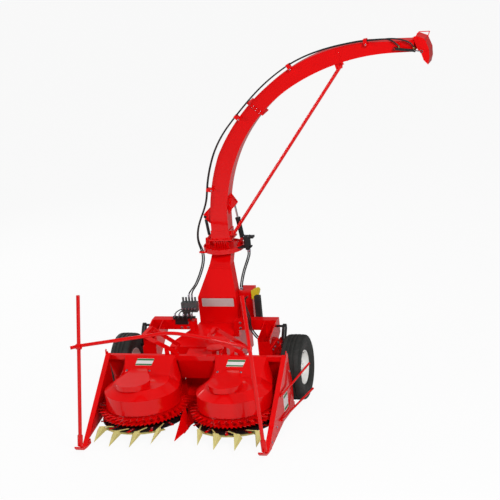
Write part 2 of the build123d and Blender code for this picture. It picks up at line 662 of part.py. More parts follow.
def spout_face(grow, x_end=None):
    """The whole spout's side outline as a face built of three-point arcs."""
    (o0, o1, o2, o3, o4, o5, o6, o7, o8), (i0, i1, i2, i3, i4, i5, i6, i7, i8) = spout_side(grow)
    wire = Wire([
        Line(o0, o1), ThreePointArc(o1, o2, o3), ThreePointArc(o3, o4, o5), ThreePointArc(o5, o6, o7), Line(o7, o8),
        Line(o8, i0), Line(i0, i1), ThreePointArc(i1, i2, i3), ThreePointArc(i3, i4, i5), ThreePointArc(i5, i6, i7),
        Line(i7, i8), Line(i8, o0),
    ])
    return make_face(wire)


def spout_solid(width, grow):
    """The spout's outline given its width."""
    return Pos(0, TURN_Y - width / 2, 0) * extrude(Plane.XZ * spout_face(grow), amount=width, dir=(0, 1, 0))


JOINT_X, JOINT_Z, JOINT_DEG = 632, 3465, 50


def spout_split(side):
    """A big wedge on the tower's side or the tip's side of the spout's bolted joint."""
    big = 6000
    half = Box(big, big, big, align=(Align.MIN, Align.CENTER, Align.CENTER))
    tilt = Rot(0, -JOINT_DEG, 0)
    spread = Pos(JOINT_X, TURN_Y, JOINT_Z) * tilt * half
    return spread if side > 0 else Pos(JOINT_X, TURN_Y, JOINT_Z) * tilt * Pos(-big, 0, 0) * half


def joint_flange(offset):
    """A bolting flange of the spout's joint, which follows the spout's section."""
    plate = Box(12, SPOUT_W + 40, 600, align=(Align.MIN, Align.CENTER, Align.CENTER))
    plate = Pos(JOINT_X, TURN_Y, JOINT_Z) * Rot(0, -JOINT_DEG, 0) * Pos(offset, 0, 0) * plate
    return plate & spout_solid(SPOUT_W + 40, -20)


def make_spout(side):
    """Half of the spout duct: the lower one closed, the upper one open underneath."""
    out = spout_solid(SPOUT_W, 0)
    hollow = spout_solid(SPOUT_W - 2 * SPOUT_WALL, SPOUT_WALL)
    shell = out - hollow
    ends = block((-200, 0, 1700), (400, 3000, 1812)) + block((FLAP_X - TIP_BACK - 11, 0, FLAP_Z - 350), (FLAP_X + 200, 3000, FLAP_Z + 50))
    half = (shell - ends) & spout_split(side)
    flange = joint_flange(0 if side > 0 else -12)
    return half + (flange - out)


def make_spout_foot():
    """The spout's base frame, with the hinge eye and the lift bracket."""
    base = block((-150, TURN_Y - 130, SEAT_Z), (150, TURN_Y + 130, 1790)) \
        - block((-88, TURN_Y - 88, 1700), (88, TURN_Y + 88, 1900))
    collar = block((-122, TURN_Y - SPOUT_W / 2 - 6, 1790), (122, TURN_Y + SPOUT_W / 2 + 6, 1900)) \
        - spout_solid(SPOUT_W, 0)
    eye = rod((TILT_X, TURN_Y - 64, TILT_Z), (TILT_X, TURN_Y + 64, TILT_Z), 25) \
        - rod((TILT_X, TURN_Y - 70, TILT_Z), (TILT_X, TURN_Y + 70, TILT_Z), 14 + RUNNING)
    link = block((TILT_X + 20, TURN_Y - 60, SEAT_Z), (-148, TURN_Y + 60, 1790))
    return base + collar + eye + link


def make_lift_bracket():
    """The red bracket on the spout's inner side that the lift cylinder pushes, and the gusset with its strut outside."""
    x, z = LIFT_EYE
    cheeks = Part()
    for y in (LIFT_Y - 36, LIFT_Y + 26):
        cheeks += slab_y([(60, z - 140), (x - 72, z - 140), (x - 50, z - 74), (x + 8, z - 24), (x + 39, z + 17),
                          (x - 30, z + 124), (x - 53, z + 216), (60, z + 216)], y, 10)
    pin = rod((x, LIFT_Y - 36, z), (x, LIFT_Y + 36, z), 8)
    gusset = slab_y([(-60, 2225), (-118, 2195), (-213, 2103), (-191, 2063), (-144, 1996), (-60, 1960)], TURN_Y - 60, 14)
    strut = rod((-190, TURN_Y - 53, 2085), (-157, TURN_Y - 53, 1789), 12)
    return cheeks + pin + gusset + strut - spout_solid(SPOUT_W, 0)


def make_lift_barrel():
    """The lift cylinder's barrel, with the eye at its foot."""
    foot, eye = Vector(LIFT_FOOT[0], LIFT_Y, LIFT_FOOT[1]), Vector(LIFT_EYE[0], LIFT_Y, LIFT_EYE[1])
    up = (eye - foot).normalized()
    barrel = rod(tuple(foot + up * 20), tuple(foot + up * 285), 31)
    lug = rod((foot.X, LIFT_Y - 26, foot.Z), (foot.X, LIFT_Y + 26, foot.Z), 22)
    hole = rod((foot.X, LIFT_Y - 30, foot.Z), (foot.X, LIFT_Y + 30, foot.Z), 11 + RUNNING)
    bore = rod(tuple(foot + up * 60), tuple(foot + up * 300), 12 + RUNNING)
    return barrel + lug - hole - bore


def make_lift_rod():
    """The lift cylinder's rod, with the eye at its end."""
    foot, eye = Vector(LIFT_FOOT[0], LIFT_Y, LIFT_FOOT[1]), Vector(LIFT_EYE[0], LIFT_Y, LIFT_EYE[1])
    up = (eye - foot).normalized()
    stem = rod(tuple(foot + up * 70), tuple(eye - up * 18), 12)
    ring = rod((eye.X, LIFT_Y - 16, eye.Z), (eye.X, LIFT_Y + 16, eye.Z), 24)
    return stem + ring - rod((eye.X, LIFT_Y - 20, eye.Z), (eye.X, LIFT_Y + 20, eye.Z), 16)


def make_stay():
    """The straight tie that stiffens the spout's curve."""
    low, high = (170, STAY_Y, 1851), (FLAP_X - 962, STAY_Y, FLAP_Z - 288)
    tie = rod(low, high, 21)
    lug_low = slab_y([(100, 1812), (196, 1836), (186, 1892), (100, 1880)], STAY_Y - 6, 12)
    x, z = high[0], high[2]
    lug_high = slab_y([(x - 60, z - 60), (x + 14, z - 34), (x + 34, z + 70), (x - 90, z + 50)], STAY_Y - 6, 12)
    return tie + lug_low + lug_high - spout_solid(SPOUT_W, 0) - make_spout_foot()


def make_flap():
    """The hood at the spout's tip: a bent plate between two cheeks, hung on a pin."""
    x, z = FLAP_X, FLAP_Z
    half = SPOUT_W / 2 + 12
    face = TURN_Y - half - 5
    cheek = [(x - 52, z + 20), (x - 40, z + 34), (x - 10, z + 40), (x + 86, z + 2), (x + 132, z - 125), (x + 131, z - 233),
             (x + 108, z - 308), (x + 58, z - 254), (x + 33, z - 169), (x - 7, z - 120)]
    hollow = [(x - 90, z + 90), (x - 10, z + 90), (x - 10, z + 35), (x + 82, z - 2), (x + 127, z - 126), (x + 126, z - 232),
              (x + 104, z - 302), (x + 60, z - 400), (x - 90, z - 400)]
    shell = slab_y(cheek, face, 2 * half + 10) - slab_y(hollow, TURN_Y - half, 2 * half)
    for y in (face, TURN_Y + half - 17):
        shell += rod((x, y, z), (x, y + 22, z), 16)
    ex, ez = PUSH_EYE
    shell += rod((ex, PUSH_Y - 14, ez), (ex, face + 1, ez), 6) + rod((ex, face - 6, ez), (ex, face + 1, ez), 15)
    corners = [(x - 19, face + 3, z + 32), (x + 26, face + 3, z + 88), (x + 151, face + 3, z + 89), (x + 100, face + 3, z - 40)]
    for start, end in zip(corners, corners[1:]):
        shell += rod(start, end, 5)
    for corner in corners[1:3]:
        shell += Pos(*corner) * Sphere(5)
    return shell - rod((x, face - 4, z), (x, TURN_Y + half + 9, z), 8 + RUNNING)


def make_flap_pin():
    """The pin and the two ears at the spout's tip that carry the flap."""
    x, z = FLAP_X, FLAP_Z
    half = SPOUT_W / 2 + 12
    pin = rod((x, TURN_Y - half - 12, z), (x, TURN_Y + half + 12, z), 8)
    ears = Part()
    for y in (TURN_Y - 88, TURN_Y + 76):
        ears += slab_y([(x - 130, z - 22), (x - TIP_BACK, z - 22), (x + 6, z - 11), (x + 12, z), (x + 4, z + 12),
                        (x - 8, z + 11)], y, 12)
    return ears + pin - spout_solid(SPOUT_W, 0)


def make_push_barrel():
    """The flap cylinder's barrel on the spout's crop side."""
    foot, eye = Vector(PUSH_FOOT[0], PUSH_Y, PUSH_FOOT[1]), Vector(PUSH_EYE[0], PUSH_Y, PUSH_EYE[1])
    along = (eye - foot).normalized()
    barrel = rod(tuple(foot + along * 14), tuple(foot + along * 250), 17)
    lug = rod((foot.X, PUSH_Y - 17, foot.Z), (foot.X, PUSH_Y + 17, foot.Z), 18)
    hole = rod((foot.X, PUSH_Y - 20, foot.Z), (foot.X, PUSH_Y + 20, foot.Z), 8 + RUNNING)
    bore = rod(tuple(foot + along * 40), tuple(foot + along * 260), 8 + RUNNING)
    return barrel + lug - hole - bore


def make_push_rod():
    """The flap cylinder's rod, its eye round the flap's pin."""
    foot, eye = Vector(PUSH_FOOT[0], PUSH_Y, PUSH_FOOT[1]), Vector(PUSH_EYE[0], PUSH_Y, PUSH_EYE[1])
    along = (eye - foot).normalized()
    stem = rod(tuple(foot + along * 130), tuple(eye - along * 14), 8)
    ring = rod((eye.X, PUSH_Y - 11, eye.Z), (eye.X, PUSH_Y + 11, eye.Z), 20)
    return stem + ring - rod((eye.X, PUSH_Y - 13, eye.Z), (eye.X, PUSH_Y + 13, eye.Z), 14)


def make_push_mount():
    """The pin on the spout's side that the flap cylinder's foot turns on."""
    x, z = PUSH_FOOT
    face = TURN_Y - SPOUT_W / 2
    return rod((x, PUSH_Y - 20, z), (x, face, z), 8) + block((x - 30, face - 8, z - 30), (x + 30, face, z + 30))


# Drive and hitch

def make_headstock():
    """The three-point headstock on the chopper's rear: cross tube, uprights and top-link clevis."""
    y0, y1 = CHOP_REAR + 40, CHOP_REAR + 140
    cross = block((-PIN_X + 30, y0, PIN_Z - 50), (PIN_X - 30, y1, PIN_Z + 50))
    ties = block((-190, CHOP_REAR, PIN_Z - 40), (-170, y0, PIN_Z + 200)) + block((170, CHOP_REAR, PIN_Z - 40), (190, y0, PIN_Z + 200))
    for sign in (-1, 1):
        ties += bar((sign * 180, y1 - 40, PIN_Z + 20), (sign * 40, y1 - 20, TOP_LINK_Z - 60), 60, 60, (0, 1, 0))
    head = Part()
    for x in (-46, 30):
        head += slab_x([(y1 - 80, TOP_LINK_Z - 110), (y1 + 10, TOP_LINK_Z - 110), (y1 + 40, TOP_LINK_Z), (y1, TOP_LINK_Z + 36),
                        (y1 - 60, TOP_LINK_Z + 20)], x, 16)
    hole = rod((-60, y1, TOP_LINK_Z), (60, y1, TOP_LINK_Z), TOP_LINK_R)
    cap = block((-60, y1 - 80, TOP_LINK_Z - 112), (60, y1 + 10, TOP_LINK_Z - 90))
    return cross + ties + (head + cap) - hole


def make_lower_pins():
    """The two lower-link pins that stand out from the headstock's ends."""
    both = Part()
    for sign in (-1, 1):
        y, z = CHOP_REAR + 90, PIN_Z
        plate = block((min(sign * (PIN_X - 30), sign * PIN_X), y - 50, z - 50), (max(sign * (PIN_X - 30), sign * PIN_X), y + 50, z + 50))
        both += plate + rod((sign * PIN_X, y, z), (sign * (PIN_X + 75), y, z), PIN_R)
    return both


def make_input_shaft():
    """The power input: a plain shaft in a flanged bearing on the chopper's rear wall."""
    flange = rod((0, CHOP_REAR, PTO_Z), (0, CHOP_REAR + 30, PTO_Z), 70)
    return flange + rod((0, CHOP_REAR + 30, PTO_Z), (0, CHOP_REAR + 170, PTO_Z), PTO_R)


def make_parking_stand():
    """The parking leg under the cross tube."""
    y = CHOP_REAR + 90
    leg = block((-30, y - 30, 10), (30, y + 30, PIN_Z - 50))
    return leg + block((-110, y - 110, 0), (110, y + 110, 10))


def make_drive_box():
    """The red side drive housing right of the tower, with the opening in its front."""
    x0, x1 = CHOP_HALF_W, CHOP_HALF_W + 174
    shell = block((x0, 1150, 700), (x1, 1350, DRIVE_TOP)) - block((x0 + 50, 1140, 880), (x0 + 85, 1200, 1100))
    return shell - block((x0 - 1, 1160, 960), (x0 + 2, 1340, 1201))


def make_guard_cone():
    """The yellow ribbed guard on the side drive's shaft."""
    side = CHOP_HALF_W + 174
    x, z = side + 31, 1152
    parts = rod((x, 1120, z), (x, 1330, z), 30)
    for k in range(5):
        parts += rod((x, 1120 + 30 * k, z), (x, 1136 + 30 * k, z), 62 - 4 * k)
    return parts - block((side - 200, 1100, z - 200), (side, 1400, z + 200))


def make_rubber_guard():
    """The upright black rubber guard behind the right half of the rear beam."""
    y = FRAME_Y + FRAME_D
    return block((520, y, FRAME_LOW + 20), (590, y + 70, FRAME_TOP + 269))


def make_valve_block():
    """The hydraulic valve block on its foot, on the left half of the rear beam."""
    x, y, z = -(CHOP_HALF_W + 176), FRAME_Y + 70, FRAME_TOP
    body = block((x, y, z + 74), (x + 208, y + 76, z + 200))
    foot = block((x + 10, y + 10, z), (x + 100, y + 46, z + 74))
    for k in range(5):
        body += upright(13, z + 200, z + 262, x + 24 + 40 * k, y + 38)
    return body + foot


def make_coupling_bar():
    """The thin black bar that the tractor hoses' couplings hang on, at the top of the rear beam's front."""
    x0, x1, y, z = -(CHOP_HALF_W + 265), -(CHOP_HALF_W - 30), FRAME_Y, FRAME_TOP
    body = block((x0, y - 30, z + 26), (x1, y - 6, z + 54)) + block((x0 + 20, y - 12, z - 60), (-WING_X - 20, y, z + 30))
    for k in range(5):
        body += rod((x0 + 28 + 56 * k, y - 66, z + 34), (x0 + 28 + 56 * k, y - 28, z + 42), 13)
    return body


def hose(points, radius=HOSE_R):
    """A hose along straight runs that are joined by arcs as large as the runs allow."""
    corners = [Vector(*p) for p in points]
    runs = [b - a for a, b in zip(corners, corners[1:])]
    radii = [0.45 * min(a.length, b.length) / math.tan(math.radians(a.get_angle(b)) / 2) for a, b in zip(runs, runs[1:])]
    print("hose radii", [round(r) for r in radii])
    return tube(points, radii, radius)


def shifted(points, dx, dy, dz):
    """The same route beside the first one."""
    return [(x + dx, y + dy, z + dz) for x, y, z in points]


def drop_routes():
    """The routes of the two hoses beside the tower, from the valve block up to the clamp at the fixed ring."""
    route = [(-292, 934, FRAME_TOP + 262.3), (-292, 934.5, 1228), (-278, 992, 1270), (-256, 1066, 1302), (-242, 1146, 1352),
             (-228, 1220, 1412), (-216, 1280, 1476), (-212, 1330, 1540), (-219, 1366, 1604), (-234, 1378, 1672)]
    return route, [(px - (40 if k < 2 else 24), py, pz) for k, (px, py, pz) in enumerate(route)]


def spout_routes():
    """The routes of the spout's two hoses: a hanging loop beside the turntable, then along the spout's outer corner."""
    route = [(-282, 1400, 1760), (-286, 1400, 1850), (-264, 1400, 1965), (-216, 1401, 2085), (-160, 1402, 2200),
             (-118, 1403, 2318), (-99, 1404, 2430), (-78, 1404, 2560), (-36, 1404, 2720), (28, 1404, 2900), (106, 1404, 3052),
             (210, 1404, 3206), (334, 1404, 3348), (470, 1404, 3494), (620, 1404, 3646), (768, 1404, 3778),
             (930, 1404, 3900), (1120, 1404, 4020), (1330, 1404, 4114), (1550, 1404, 4182), (1790, 1404, 4232),
             (2040, 1404, 4266), (2270, 1402, 4274)]
    return route, shifted(route, -4, -20, -2)


def make_motor_hoses():
    """Two hoses from the turning motor down beside the tower to the side drive housing."""
    x, y, z = MOTOR_X, MOTOR_Y, MOTOR_LOW
    route = [(x, y, z - 0.3), (x, y - 1, z - 42), (x - 4, y - 14, z - 80), (x - 20, y - 60, z - 142), (x - 40, y - 130, z - 217),
             (x - 52, y - 200, z - 292), (x - 58, y - 256, z - 362), (x - 60, y - 280, z - 408), (x - 60, y - 280.5, DRIVE_TOP + 0.3)]
    return hose(route) + hose(shifted(route, 22, 4, 0))


def make_side_hoses():
    """Two hoses that arch over the rear beam's right half from the side drive to the header."""
    route = [(372, 1149.7, 1120), (372.5, 1080, 1121), (382, 990, 1126), (408, 900, 1112), (450, 834, 1066), (482, 806, 1004),
             (494, 798, 940), (488, 796, 884), (498, 790, 834), (530, 778, 786), (568, 764, 742), (612, 750, 708)]
    end = (FRAME_HALF_W - ARM_W - 1.4, 748, 700)
    return hose(route + [end]) + hose(shifted(route, -20, 0, -16) + [(end[0], end[1], end[2] - 16)])


def make_hose_clips():
    """The red clips that hold the two hoses on the spout's outer corner."""
    clips = Part()
    # columns: X, Z, turn of the clip about Y
    for x, z, turn in ((-91, 2455, 8), (371, 3387, 43), (1095, 4001, 63), (2071, 4268, 84)):
        clips += Pos(x + 4, TURN_Y - SPOUT_W / 2 - 33, z) * Rot(0, turn, 0) * Pos(24, 0, 0) * Box(84, 66, 44)
    for route in spout_routes():
        clips -= hose(route, HOSE_R + RUNNING)
    return clips


def make_ring_clamp():
    """The clamp at the fixed ring's left that holds the two hoses from the valve block."""
    low = RING_TOP_Z - SLEW_T
    clamp = block((-276, 1350, low), (-190, 1398, low + FLOOR_T))
    for route in drop_routes():
        clamp -= hose(route, HOSE_R + RUNNING)
    return clamp - upright(SLEW_HOLE_R + 20, 1600, 1700, 0, TURN_Y)


def make_spear():
    """The pointed divider between the two rotors, on its bar from the sill."""
    def section(y, half, low, high):
        return Plane(origin=(0, y, 0), x_dir=(1, 0, 0), z_dir=(0, -1, 0)) * outline([(-half, low), (half, low), (0, high)])
    nose = loft([section(-1020, 4, 98, 106), section(-690, 68, 106, 280)], ruled=True)
    tail = loft([section(-690, 68, 106, 280), section(-530, 32, 106, 322)], ruled=True)
    beam = block((-26, -720, SILL_Z), (26, SILL_Y, 108))
    floor = slab_z([(-200, 126), (200, 126), (150, -300), (40, -600), (-40, -600), (-150, -300)], 100, 8)
    return nose + tail + beam + floor


tyre = make_tyre()
rim = make_rim()
nodes = {}
for side, sign in (("left", -1), ("right", 1)):
    place = Pos(sign * WHEEL_X, AXLE_Y, TYRE_R)
    turned = Rot(0, 0, 0 if sign > 0 else 180)
    nodes["tyre_" + side] = place * turned * tyre
    nodes["rim_" + side] = place * turned * rim
    nodes["rotor_hood_" + side] = make_hood(sign * ROTOR_X)
    nodes["hood_cap_" + side] = make_cap(sign * ROTOR_X)
    nodes["feed_rotor_" + side] = make_rotor(sign * ROTOR_X, sign)
    nodes["knife_disc_" + side] = make_knife_disc(sign * ROTOR_X)
    nodes["knives_" + side] = make_knives(sign * ROTOR_X, sign)
    nodes["finger_ring_" + side] = make_fingers(sign * ROTOR_X, sign)
    nodes["rotor_base_" + side] = make_rotor_base(sign * ROTOR_X)
    for name, piece in (
        ("divider", make_divider()), ("frame", make_frame_side()), ("wheel_arm", make_wheel_arm()),
        ("wheel_cylinder", make_wheel_cylinder()),
    ):
        nodes[name + "_" + side] = piece if sign > 0 else mirrored(piece)
nodes["brace_right"] = make_brace()
nodes["brace_left"] = Pos(-836, 0, 0) * make_brace()
nodes["header_frame"] = make_header_frame()
nodes["guide_tubes"] = Compound(list(make_guide_tubes()))
nodes["push_bar"] = make_push_bar()
nodes["chopper_housing"] = make_chopper()
nodes["cutter_drum"] = make_cutter_drum()
nodes["feed_duct"] = make_feed_duct()
nodes["drive_cover"] = make_cover_disc()
nodes["tower"] = make_tower()
nodes["slew_ring"] = make_slew_ring() + make_ring_clamp()
nodes["turn_motor"] = make_turn_motor()
nodes["turret"] = make_turret()
clips = make_hose_clips()
nodes["spout_lower"] = make_spout(-1)
nodes["spout_foot"] = make_spout_foot() + make_lift_bracket() + (clips & spout_split(-1))
nodes["spout_upper"] = make_spout(1) + make_flap_pin() + make_push_mount() + (clips & spout_split(1))
nodes["lift_barrel"] = make_lift_barrel()
nodes["lift_rod"] = make_lift_rod()
nodes["spout_stay"] = make_stay()
nodes["spout_flap"] = make_flap()
nodes["flap_barrel"] = make_push_barrel()
nodes["flap_rod"] = make_push_rod()
nodes["headstock"] = make_headstock() + make_lower_pins()
nodes["input_shaft"] = make_input_shaft()
nodes["parking_stand"] = make_parking_stand()
nodes["drive_box"] = make_drive_box()
nodes["guard_cone"] = make_guard_cone()
nodes["rubber_guard"] = make_rubber_guard()
nodes["valve_block"] = make_valve_block()
nodes["coupling_bar"] = make_coupling_bar()
nodes["centre_divider"] = make_spear()
nodes["hoses_drop"] = Compound([hose(route) for route in drop_routes()])
nodes["hoses_spout"] = Compound([hose(route) for route in spout_routes()])
nodes["hoses_frame"] = make_motor_hoses() + make_side_hoses()

for name, shape in nodes.items():
    shape = Pos(0, -STAND_Y, 0) * shape
    shape.label = name
    export_step(shape, "parts/" + name + ".step")
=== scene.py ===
"""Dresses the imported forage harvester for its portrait: materials, fasteners, hoses and blank plates."""

import json
import math

import bmesh
import bpy
from mathutils import Matrix, Vector


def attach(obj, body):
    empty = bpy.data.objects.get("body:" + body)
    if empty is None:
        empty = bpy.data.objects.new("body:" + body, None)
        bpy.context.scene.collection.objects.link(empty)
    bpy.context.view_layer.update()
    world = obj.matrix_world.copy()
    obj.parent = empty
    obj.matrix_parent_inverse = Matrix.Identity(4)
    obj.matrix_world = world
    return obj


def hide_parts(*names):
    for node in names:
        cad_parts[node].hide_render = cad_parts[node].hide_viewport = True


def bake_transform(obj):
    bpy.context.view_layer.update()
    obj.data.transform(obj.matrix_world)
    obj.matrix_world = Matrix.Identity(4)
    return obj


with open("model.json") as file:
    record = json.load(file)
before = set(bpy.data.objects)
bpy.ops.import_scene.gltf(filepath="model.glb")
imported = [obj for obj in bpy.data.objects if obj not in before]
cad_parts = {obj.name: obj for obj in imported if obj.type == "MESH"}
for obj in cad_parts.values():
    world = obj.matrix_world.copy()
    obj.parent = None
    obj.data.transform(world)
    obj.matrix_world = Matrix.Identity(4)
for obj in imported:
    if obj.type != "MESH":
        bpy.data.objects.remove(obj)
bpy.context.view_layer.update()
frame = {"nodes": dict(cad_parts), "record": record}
nodes = frame["nodes"]

# Camera: a long lens from the front, right and above.
EYE = (6.479, -19.482, 7.903)
RIGHT = Vector((0.9575, 0.2726, -0.0946))
UP = Vector((0.0054, 0.3106, 0.9505))
LENS = 120.2

# Light: each lamp has a name, a place, the width and height of its face, and its watts. All point at LIT.
WORLD_LIGHT = 0.20
FLOOR_HALF = 60
FLOOR_GLOW = 0.93
LIT = (0.4, -1.2, 1.4)
LAMPS = (
    ("key", (6.5, -8.5, 8.0), 3.0, 3.0, 760),
    ("fill", (-7.5, -6.0, 4.5), 3.0, 4.0, 230),
    ("top", (0.5, 0.5, 9.0), 5.0, 5.0, 180),
    ("rim", (-6.0, 5.0, 5.0), 3.0, 3.0, 200),
)

# Places in metres. The drawing's Y is 1.650 more than the frame's.
SHIFT = 1.650
ROTOR_X = 0.581
ROTOR_Y = -0.376
HALF_W = 1.153
WHEEL_X = 1.105
WHEEL_Y = 0.583
WHEEL_Z = 0.404
TURN_Y = 1.537
MOTOR_X, MOTOR_Y = 0.345, 1.450
STRUT_Y = 1.484
LIFT_Y = 1.567
FLAP_Y = 1.387

WHEEL_BOLTS = 6
KNIVES = 12
HOSE_R = 0.009
# the spout's hose clips: X, Z, turn in degrees
CLIPS = ((-0.091, 2.455, 8), (0.371, 3.387, 43), (1.095, 4.001, 63), (2.071, 4.268, 84))
# from one hose to the next of the same pair
MOTOR_STEP = (0.022, 0.004, 0)
SIDE_STEP = (-0.020, 0, -0.016)
# X of the short hoses' ends, on the valve block and on the coupling bar
FAN = [(-0.412 + 0.040 * k, -0.497 + 0.056 * k) for k in range(5)]


def place(x, y, z):
    """A point of the drawing, in the frame."""
    return Vector((x, y - SHIFT, z))


# Camera, light and floor

def make_camera():
    """The portrait's camera."""
    data = bpy.data.cameras.new("portrait")
    data.lens = LENS
    data.sensor_width = 36
    data.clip_end = 200
    camera = bpy.data.objects.new("portrait", data)
    bpy.context.scene.collection.objects.link(camera)
    right = RIGHT.normalized()
    up = (UP - right * UP.dot(right)).normalized()
    back = right.cross(up)
    turn = Matrix((right, up, back)).transposed().to_4x4()
    camera.matrix_world = Matrix.Translation(EYE) @ turn
    bpy.context.scene.camera = camera


def make_lamps():
    """Four soft lamps. The one above gives no glare."""
    for name, spot, width, height, watts in LAMPS:
        data = bpy.data.lights.new(name, "AREA")
        data.shape = "RECTANGLE"
        data.size = width
        data.size_y = height
        data.energy = watts
        lamp = bpy.data.objects.new(name, data)
        bpy.context.scene.collection.objects.link(lamp)
        lamp.location = spot
        lamp.rotation_euler = (Vector(LIT) - Vector(spot)).to_track_quat("-Z", "Y").to_euler()
        lamp.visible_glossy = name != "top"


def background(tree, strength):
    """A plain white background of the given strength."""
    node = tree.nodes.new("ShaderNodeBackground")
    node.inputs["Color"].default_value = (1, 1, 1, 1)
    node.inputs["Strength"].default_value = strength
    return node.outputs[0]


def make_world():
    """A faint white world that shows as plain white behind the machine."""
    bpy.context.scene.view_settings.view_transform = "Standard"
    world = bpy.data.worlds.new("studio")
    bpy.context.scene.world = world
    world.use_nodes = True
    tree = world.node_tree
    tree.nodes.clear()
    out = tree.nodes.new("ShaderNodeOutputWorld")
    path = tree.nodes.new("ShaderNodeLightPath")
    mix = tree.nodes.new("ShaderNodeMixShader")
    tree.links.new(path.outputs["Is Camera Ray"], mix.inputs["Fac"])
    tree.links.new(background(tree, WORLD_LIGHT), mix.inputs[1])
    tree.links.new(background(tree, 1.0), mix.inputs[2])
    tree.links.new(mix.outputs[0], out.inputs[0])


def make_floor():
    """A floor that shows nearly white but keeps a faint shadow."""
    mesh = bpy.data.meshes.new("floor")
    corners = [(FLOOR_HALF * x, FLOOR_HALF * y, 0) for x, y in ((-1, -1), (1, -1), (1, 1), (-1, 1))]
    mesh.from_pydata(corners, [], [(0, 1, 2, 3)])
    floor = bpy.data.objects.new("floor", mesh)
    bpy.context.scene.collection.objects.link(floor)
    mat = bpy.data.materials.new("floor_white")
    mat.use_nodes = True
    tree = mat.node_tree
    shader = tree.nodes["Principled BSDF"]
    shader.inputs["Base Color"].default_value = (0.8, 0.8, 0.8, 1)
    shader.inputs["Roughness"].default_value = 0.9
    glow = tree.nodes.new("ShaderNodeEmission")
    glow.inputs["Strength"].default_value = 1.0
    path = tree.nodes.new("ShaderNodeLightPath")
    part = tree.nodes.new("ShaderNodeMath")
    part.operation = "MULTIPLY"
    part.inputs[1].default_value = FLOOR_GLOW
    mix = tree.nodes.new("ShaderNodeMixShader")
    tree.links.new(path.outputs["Is Camera Ray"], part.inputs[0])
    tree.links.new(part.outputs[0], mix.inputs["Fac"])
    tree.links.new(shader.outputs[0], mix.inputs[1])
    tree.links.new(glow.outputs[0], mix.inputs[2])
    tree.links.new(mix.outputs[0], tree.nodes["Material Output"].inputs[0])
    mesh.materials.append(mat)


# Materials

def noise(tree, scale, detail=4.0):
    """A noise texture in the object's own coordinates, in cycles per metre."""
    where = tree.nodes.new("ShaderNodeTexCoord")
    tex = tree.nodes.new("ShaderNodeTexNoise")
    tex.inputs["Scale"].default_value = scale
    tex.inputs["Detail"].default_value = detail
    tex.inputs["Roughness"].default_value = 0.55
    tree.links.new(where.outputs["Object"], tex.inputs["Vector"])
    return tex.outputs["Fac"]


def ramp(tree, value, low, high):
    """A colour ramp over a noise value, from one colour to another."""
    node = tree.nodes.new("ShaderNodeValToRGB")
    for stop, position, colour in zip(node.color_ramp.elements, (0.3, 0.7), (low, high)):
        stop.position = position
        stop.color = (*colour, 1)
    tree.links.new(value, node.inputs["Fac"])
    return node.outputs["Color"]


def bump(tree, height, strength, distance, shader):
    """A bump from a height value."""
    node = tree.nodes.new("ShaderNodeBump")
    node.inputs["Strength"].default_value = strength
    node.inputs["Distance"].default_value = distance
    tree.links.new(height, node.inputs["Height"])
    tree.links.new(node.outputs["Normal"], shader.inputs["Normal"])


def surface(name, colour, spread, scale, rough, rough_spread, metallic=0.0, coat=0.0, grain=600, grain_depth=0.0002,
            grain_strength=0.15, specular=0.5):
    """A material whose colour and roughness vary softly, with a fine grain."""
    mat = bpy.data.materials.new(name)
    mat.use_nodes = True
    tree = mat.node_tree
    shader = tree.nodes["Principled BSDF"]
    dark = tuple(c * (1 - spread) for c in colour)
    light = tuple(min(1.0, c * (1 + spread)) for c in colour)
    tree.links.new(ramp(tree, noise(tree, scale), dark, light), shader.inputs["Base Color"])
    low, high = (rough - rough_spread,) * 3, (rough + rough_spread,) * 3
    tree.links.new(ramp(tree, noise(tree, scale * 3.1), low, high), shader.inputs["Roughness"])
    shader.inputs["Metallic"].default_value = metallic
    shader.inputs["Coat Weight"].default_value = coat
    shader.inputs["Coat Roughness"].default_value = 0.05
    shader.inputs["Specular IOR Level"].default_value = specular
    bump(tree, noise(tree, grain, 2.0), grain_strength, grain_depth, shader)
    return mat


